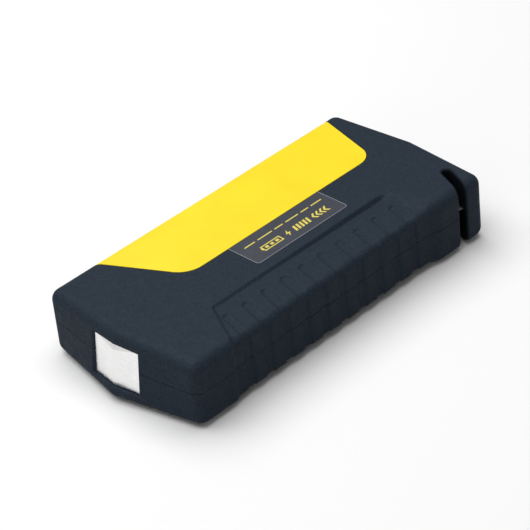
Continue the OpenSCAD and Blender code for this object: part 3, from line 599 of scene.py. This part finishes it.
class Finish:
    """A procedural material. Its noises are sized in millimetres of the piece."""

    def __init__(self, name, colour, roughness, metallic=0.0, **sockets):
        self.material = bpy.data.materials.new(name)
        self.material.use_nodes = True
        self.nodes = self.material.node_tree.nodes
        self.links = self.material.node_tree.links
        self.shader = self.nodes["Principled BSDF"]
        self.place = self.nodes.new("ShaderNodeTexCoord").outputs["Object"]
        self.shader.inputs["Base Color"].default_value = (*colour, 1)
        self.shader.inputs["Roughness"].default_value = roughness
        self.shader.inputs["Metallic"].default_value = metallic
        for socket, value in sockets.items():
            self.shader.inputs[socket.replace("_", " ")].default_value = value

    def scaled(self, size, stretch):
        mapping = self.nodes.new("ShaderNodeMapping")
        mapping.inputs["Scale"].default_value = [1 / (size * MM * s) for s in stretch]
        self.links.new(self.place, mapping.inputs["Vector"])
        return mapping.outputs["Vector"]

    def noise(self, size, detail=2.0, stretch=(1, 1, 1)):
        """Cloudy noise with features of that size; stretch draws it out along each axis."""
        texture = self.nodes.new("ShaderNodeTexNoise")
        texture.inputs["Scale"].default_value = 1
        texture.inputs["Detail"].default_value = detail
        self.links.new(self.scaled(size, stretch), texture.inputs["Vector"])
        return texture.outputs["Fac"]

    def cells(self, size, stretch=(1, 1, 1)):
        """Pebbled cells of that size."""
        texture = self.nodes.new("ShaderNodeTexVoronoi")
        texture.inputs["Scale"].default_value = 1
        self.links.new(self.scaled(size, stretch), texture.inputs["Vector"])
        return texture.outputs["Distance"]

    def spread(self, factor, low, high, start=0.3, end=0.7):
        """Takes a factor's middle range to values from low to high."""
        span = self.nodes.new("ShaderNodeMapRange")
        limits = {"From Min": start, "From Max": end, "To Min": low, "To Max": high}
        for socket, value in limits.items():
            span.inputs[socket].default_value = value
        self.links.new(factor, span.inputs["Value"])
        return span.outputs["Result"]

    def axes(self, vector):
        """The outputs X, Y and Z of a vector."""
        split = self.nodes.new("ShaderNodeSeparateXYZ")
        self.links.new(vector, split.inputs["Vector"])
        return split.outputs

    def maths(self, operation, *terms):
        """The result of a Math node; each term is a number or another node's output."""
        node = self.nodes.new("ShaderNodeMath")
        node.operation = operation
        for socket, term in zip(node.inputs, terms):
            if isinstance(term, (int, float)):
                socket.default_value = term
            else:
                self.links.new(term, socket)
        return node.outputs["Value"]

    def mix_from(self, factor, colour):
        """A Mix node that gives that colour where the factor is 0."""
        mix = self.nodes.new("ShaderNodeMix")
        mix.data_type = "RGBA"
        mix.inputs[MIX_A].default_value = (*colour, 1)
        self.links.new(factor, mix.inputs[MIX_FACTOR])
        return mix

    def mix_in(self, factor, colour):
        """That colour where the factor is 0, and the colour already there where it is 1."""
        base = self.shader.inputs["Base Color"]
        mix = self.mix_from(factor, colour)
        self.links.new(base.links[0].from_socket, mix.inputs[MIX_B])
        self.links.new(mix.outputs[MIX_RESULT], base)

    def colours(self, factor, dark, light, start=0.3, end=0.7):
        mix = self.mix_from(self.spread(factor, 0, 1, start, end), dark)
        mix.inputs[MIX_B].default_value = (*light, 1)
        self.links.new(mix.outputs[MIX_RESULT], self.shader.inputs["Base Color"])
        return self

    def painted_slot_shade(self, colour):
        """Painted shade: that colour on the walls of the cutter slot, where shade falls in the
        recess, fading out over its rounded edge.
        """
        turned = self.nodes.new("ShaderNodeMapping")
        turned.vector_type = "TEXTURE"
        turned.inputs["Location"].default_value = (SLOT_END[0] * MM, SLOT_END[1] * MM, 0)
        turned.inputs["Rotation"].default_value = (0, 0, -SLOT_ANGLE)
        self.links.new(self.place, turned.inputs["Vector"])
        axes = self.axes(turned.outputs["Vector"])
        offset = self.nodes.new("ShaderNodeCombineXYZ")
        self.links.new(axes["X"], offset.inputs["X"])
        self.links.new(self.maths("MAXIMUM", axes["Y"], 0), offset.inputs["Y"])
        distance = self.nodes.new("ShaderNodeVectorMath")
        distance.operation = "LENGTH"
        self.links.new(offset.outputs["Vector"], distance.inputs[0])
        wall, edge = SLOT_R * MM, (SLOT_R + SLOT_ROUND) * MM
        self.mix_in(self.spread(distance.outputs["Value"], 0, 1, wall, edge), colour)
        return self

    def painted_facet_shade(self, colour):
        """Painted shade: that colour on the hammer's two small top facets, between its ridge and
        its corners, so they look turned away from the light.
        """
        axes = self.axes(self.place)
        side = self.maths("ABSOLUTE", axes["Y"])
        height = self.maths("MULTIPLY_ADD", side, -HAMMER_HIP / HAMMER_HALF_W, axes["Z"])
        foot = (HAMMER_Z[1] - HAMMER_HIP + BASE_Z) * MM
        fade = 0.05 * MM
        self.mix_in(self.spread(height, 1, 0, foot - fade, foot + fade), colour)
        return self

    def rough(self, factor, low, high, start=0.3, end=0.7):
        self.links.new(self.spread(factor, low, high, start, end), self.shader.inputs["Roughness"])
        return self

    def bump(self, height, depth):
        """Relief of that depth in millimetres, on top of any relief already there."""
        relief = self.nodes.new("ShaderNodeBump")
        relief.inputs["Distance"].default_value = depth * MM
        normal = self.shader.inputs["Normal"]
        if normal.is_linked:
            self.links.new(normal.links[0].from_socket, relief.inputs["Normal"])
        self.links.new(height, relief.inputs["Height"])
        self.links.new(relief.outputs["Normal"], normal)
        return self


def soft_shell():
    """Soft-touch paint over moulded plastic: dark blue, with a fine grain, and painted shade on the
    cutter slot's walls.
    """
    f = Finish("soft_touch", (0.014, 0.021, 0.031), 0.6, Specular_IOR_Level=0.06)
    f.colours(f.noise(0.8, 4), (0.0105, 0.0160, 0.0245), (0.0175, 0.0260, 0.0375))
    # painted shade: the cutter slot's walls are darkened in colour, standing in for the shade in
    # that recess
    f.painted_slot_shade((0.0035, 0.005, 0.0075))
    f.rough(f.noise(3.5, 5), 0.5, 0.68)
    f.bump(f.noise(1.6, 3), 0.05)
    return f.bump(f.cells(0.42), 0.035).material


def panel_yellow():
    """Satin moulded plastic."""
    f = Finish("panel_yellow", (0.67, 0.52, 0.005), 0.32, Specular_IOR_Level=0.35)
    f.colours(f.noise(22, 3), (0.65, 0.50, 0.004), (0.69, 0.54, 0.007))
    f.rough(f.noise(3.5, 3), 0.29, 0.36)
    return f.bump(f.noise(0.5, 2), 0.008).material


def label_grey():
    """Printed film with a matt coat."""
    f = Finish("label_grey", (0.022, 0.026, 0.036), 0.4, Specular_IOR_Level=0.35)
    f.colours(f.noise(9, 3), (0.019, 0.023, 0.032), (0.025, 0.029, 0.041))
    f.rough(f.noise(1.2, 4), 0.34, 0.46)
    return f.bump(f.noise(0.3, 2), 0.004).material


def label_print(name, dark, light):
    f = Finish(name, light, 0.5)
    f.colours(f.noise(0.8, 3), dark, light)
    f.rough(f.noise(0.6, 2), 0.42, 0.58)
    return f.bump(f.noise(0.15, 2), 0.004).material


def hammer_steel():
    f = ground_steel("hammer_steel", (0.82, 0.82, 0.82), (0.86, 0.86, 0.85), (1, 30, 1), 0.002)
    # painted shade: the two small top facets are darkened in colour to look shaded
    return f.painted_facet_shade((0.70, 0.69, 0.68)).material


def blade_steel():
    f = ground_steel("blade_steel", (0.20, 0.205, 0.22), (0.28, 0.285, 0.30), (30, 1, 1), 0.004)
    return f.material


def ground_steel(name, dark, light, stretch, marks):
    """Steel with fine grinding lines, drawn out along one axis, and a few scuffs."""
    f = Finish(name, light, 0.3, metallic=1.0)
    lines = f.noise(0.25, 3, stretch)
    f.colours(f.noise(5, 3), dark, light)
    f.rough(lines, 0.24, 0.42)
    f.bump(lines, marks)
    return f.bump(f.noise(2.5, 4), marks * 2)


def plain_metal(name, dark, light, low, high):
    f = Finish(name, light, low, metallic=1.0)
    f.colours(f.noise(2, 3), dark, light)
    f.rough(f.noise(0.7, 3), low, high)
    return f.bump(f.noise(0.4, 2), 0.006).material


def moulded(name, dark, light, low, high, grain=0.35, depth=0.012, **sockets):
    """Moulded plastic or resin."""
    f = Finish(name, light, low, **sockets)
    f.colours(f.noise(6, 3), dark, light)
    f.rough(f.noise(1.5, 4), low, high)
    return f.bump(f.noise(grain, 2), depth).material


def rubber(name, dark, light):
    f = Finish(name, light, 0.75, Specular_IOR_Level=0.25)
    f.colours(f.noise(3, 4), dark, light)
    f.rough(f.noise(1.0, 3), 0.66, 0.88)
    return f.bump(f.cells(0.3), 0.03).material


def clear_lens():
    f = Finish("clear_lens", (0.92, 0.95, 0.96), 0.05, IOR=1.49)
    f.shader.inputs["Transmission Weight"].default_value = 0.9
    f.rough(f.noise(2, 3), 0.03, 0.09)
    return f.bump(f.noise(1.2, 2), 0.004).material


def mirror():
    f = Finish("reflector", (0.9, 0.9, 0.9), 0.1, metallic=1.0)
    f.rough(f.noise(1, 3), 0.06, 0.14)
    return f.bump(f.noise(0.8, 2), 0.01).material


def circuit_board():
    """Green solder mask with the shadow of its tracks."""
    f = Finish("circuit_board", (0.01, 0.12, 0.05), 0.35)
    tracks = f.noise(1.5, 0, (4, 1, 1))
    f.colours(tracks, (0.008, 0.10, 0.04), (0.02, 0.19, 0.08), 0.48, 0.52)
    f.rough(f.noise(1.2, 3), 0.28, 0.42)
    return f.bump(tracks, 0.03).material


def cell_foil():
    f = Finish("cell_foil", (0.6, 0.61, 0.63), 0.4, metallic=1.0)
    f.rough(f.noise(3, 4), 0.3, 0.5)
    return f.bump(f.noise(5, 4), 0.3).material


BLACK = ((0.010, 0.010, 0.012), (0.018, 0.018, 0.021))

# The plain finishes by slot: a dark and a light colour, the roughness from lowest to highest, and
# for a coarse one the size and depth of its grain. The frosted one is the light guide's own.
MOULDED = {
    "bezel_plastic": (*BLACK, 0.34, 0.46),
    "socket_plastic": ((0.010, 0.05, 0.26), (0.016, 0.07, 0.33), 0.4, 0.55),
    "port_insulator": ((0.62, 0.62, 0.63), (0.72, 0.72, 0.73), 0.42, 0.55),
    "button_plastic": ((0.028, 0.028, 0.032), (0.04, 0.04, 0.045), 0.3, 0.42),
    "plunger_plastic": ((0.4, 0.03, 0.02), (0.5, 0.04, 0.03), 0.4, 0.5),
    "led_resin": ((0.8, 0.77, 0.5), (0.9, 0.87, 0.6), 0.15, 0.25),
    "frosted_plastic": ((0.50, 0.52, 0.54), (0.58, 0.60, 0.62), 0.3, 0.42),
    "red_insulation": ((0.4, 0.015, 0.01), (0.5, 0.02, 0.015), 0.35, 0.5),
    "black_insulation": (*BLACK, 0.35, 0.5),
    "tape": ((0.62, 0.48, 0.10), (0.72, 0.57, 0.14), 0.3, 0.45),
    "ferrite": ((0.03, 0.03, 0.034), (0.06, 0.06, 0.066), 0.6, 0.8, 0.25, 0.03),
    "capacitor_sleeve": ((0.008, 0.008, 0.04), (0.015, 0.015, 0.07), 0.2, 0.35),
    "chip_resin": ((0.012, 0.012, 0.012), (0.022, 0.022, 0.022), 0.55, 0.7),
}
METAL = {
    "contact_brass": ((0.72, 0.50, 0.16), (0.83, 0.61, 0.23), 0.2, 0.34),
    "port_steel": ((0.52, 0.52, 0.54), (0.66, 0.66, 0.68), 0.25, 0.4),
    "tab_metal": ((0.6, 0.57, 0.5), (0.7, 0.67, 0.6), 0.25, 0.4),
    "screw_steel": ((0.42, 0.42, 0.43), (0.55, 0.55, 0.56), 0.28, 0.42),
}
RUBBER = {
    "cover_rubber": ((0.013, 0.013, 0.016), (0.020, 0.020, 0.024)),
    "foam": ((0.03, 0.03, 0.033), (0.055, 0.055, 0.06)),
    "foot_rubber": ((0.010, 0.010, 0.010), (0.018, 0.018, 0.018)),
}


def make_finishes():
    """A material for each of the record's slots, and those in OWN_FINISH."""
    finishes = {
        "soft_shell": soft_shell(),
        "panel": panel_yellow(),
        "film": label_grey(),
        "hammer_steel": hammer_steel(),
        "blade_steel": blade_steel(),
        "clear_plastic": clear_lens(),
        "reflector_mirror": mirror(),
        "circuit_board": circuit_board(),
        "cell_foil": cell_foil(),
    }
    for make, looks in ((moulded, MOULDED), (plain_metal, METAL), (rubber, RUBBER)):
        finishes.update({slot: make(slot, *look) for slot, look in looks.items()})
    return finishes


def dress(piece, material):
    piece.data.materials.clear()
    piece.data.materials.append(material)


# ---------- CAD nodes that stay ----------

EDGE_WIDTH = {
    "hammer_head": 0.12,
    "port_bezel": 0.25,
    "socket_cover": 0.35,
    "power_button": 0.3,
    "voltage_selector": 0.25,
    "flashlight_lens": 0.3,
    "cutter_blade": 0.03,
    "foam_pad": 0.6,
    "board_inductor": 0.5,
    **dict.fromkeys(["cell_1", "cell_2", "cell_3"], 0.9),
    **dict.fromkeys(FOOT_NODES, 0.25),
}
SMALL_EDGE = 0.1
NO_EDGE = ["positive_lead", "negative_lead", "flashlight_leads", "flashlight_reflector"]
OWN_FINISH = {"level_light_guide": "frosted_plastic"}


def finish_cad_nodes(finishes):
    """Gives every CAD node that still shows its material and its rounded edges."""
    for name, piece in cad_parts.items():
        if piece.hide_render:
            continue
        for slot in piece.material_slots:
            slot.material = finishes[OWN_FINISH.get(name, slot.material.name.split(".")[0])]
        if name in NO_EDGE:
            shade(piece, CAD_SHARP)
        else:
            bevel(piece, EDGE_WIDTH.get(name, SMALL_EDGE), angle=CAD_BEVEL)


# ---------- Studio ----------

CAMERA_TURN = (-42.02, 34.51, -6.24)  # azimuth, elevation and roll, in degrees
CAMERA_DISTANCE = 946.0
CAMERA_ACROSS = -0.96  # its shift from the aim, sideways and upwards in its own view
CAMERA_UPWARD = -3.60
CAMERA_AIM_Z = 18
CAMERA_LENS = 166.29


def make_camera():
    azimuth, elevation, roll = (math.radians(a) for a in CAMERA_TURN)
    flat = math.cos(elevation)
    back = Vector((math.sin(azimuth) * flat, -math.cos(azimuth) * flat, math.sin(elevation)))
    level = Vector((0, 0, 1)).cross(back).normalized()
    upright = back.cross(level)
    right = math.cos(roll) * level + math.sin(roll) * upright
    up = math.cos(roll) * upright - math.sin(roll) * level
    place_mm = back * CAMERA_DISTANCE + right * CAMERA_ACROSS + up * CAMERA_UPWARD
    place_mm += Vector((0, 0, CAMERA_AIM_Z + BASE_Z))
    data = bpy.data.cameras.new("camera")
    data.sensor_width = 36
    data.lens = CAMERA_LENS
    data.clip_start = 0.01
    data.clip_end = 50
    camera = bpy.data.objects.new("camera", data)
    turn = Matrix((right, up, back)).transposed().to_4x4()
    camera.matrix_world = Matrix.Translation(place_mm * MM) @ turn
    bpy.context.scene.collection.objects.link(camera)
    bpy.context.scene.camera = camera


def softbox(name, place_at, target, size, power):
    data = bpy.data.lights.new(name, "AREA")
    data.shape = "RECTANGLE"
    data.size, data.size_y = size
    data.energy = power
    light = bpy.data.objects.new(name, data)
    light.location = place_at
    aim = Vector(target) - Vector(place_at)
    light.rotation_euler = aim.to_track_quat("-Z", "Y").to_euler()
    bpy.context.scene.collection.objects.link(light)


def make_studio():
    world = bpy.data.worlds.new("studio")
    world.use_nodes = True
    background = world.node_tree.nodes["Background"]
    background.inputs["Color"].default_value = (1.0, 1.0, 1.0, 1)
    background.inputs["Strength"].default_value = 0.28
    bpy.context.scene.world = world
    bpy.context.scene.view_settings.view_transform = "Standard"
    softbox("overhead", (-0.05, 0.3, 1.1), (0, 0, 0), (1.4, 1.4), 24)
    softbox("end_fill", (-1.1, -0.35, 0.35), (-0.05, 0, 0.01), (0.7, 0.6), 2.5)


def make_floor():
    half = 4000
    corners = [(-half, -half), (half, -half), (half, half), (-half, half)]
    floor = add_object("floor", [(x, y, -BASE_Z) for x, y in corners], [(0, 1, 2, 3)])
    f = Finish("floor_paper", (0.66, 0.66, 0.66), 0.8, Specular_IOR_Level=0.1)
    f.colours(f.noise(400, 2), (0.655, 0.655, 0.655), (0.665, 0.665, 0.665))
    dress(floor, f.material)


# ---------- Build ----------

finishes = make_finishes()
for shell in make_shells():
    dress(shell, finishes["soft_shell"])
dress(make_panel(), finishes["panel"])
film, border, marks = make_label()
dress(film, finishes["film"])
dress(border, label_print("border_print", (0.13, 0.14, 0.16), (0.2, 0.21, 0.235)))
dress(marks, label_print("yellow_print", (0.46, 0.38, 0.05), (0.56, 0.47, 0.07)))
finish_cad_nodes(finishes)
make_camera()
make_studio()
make_floor()
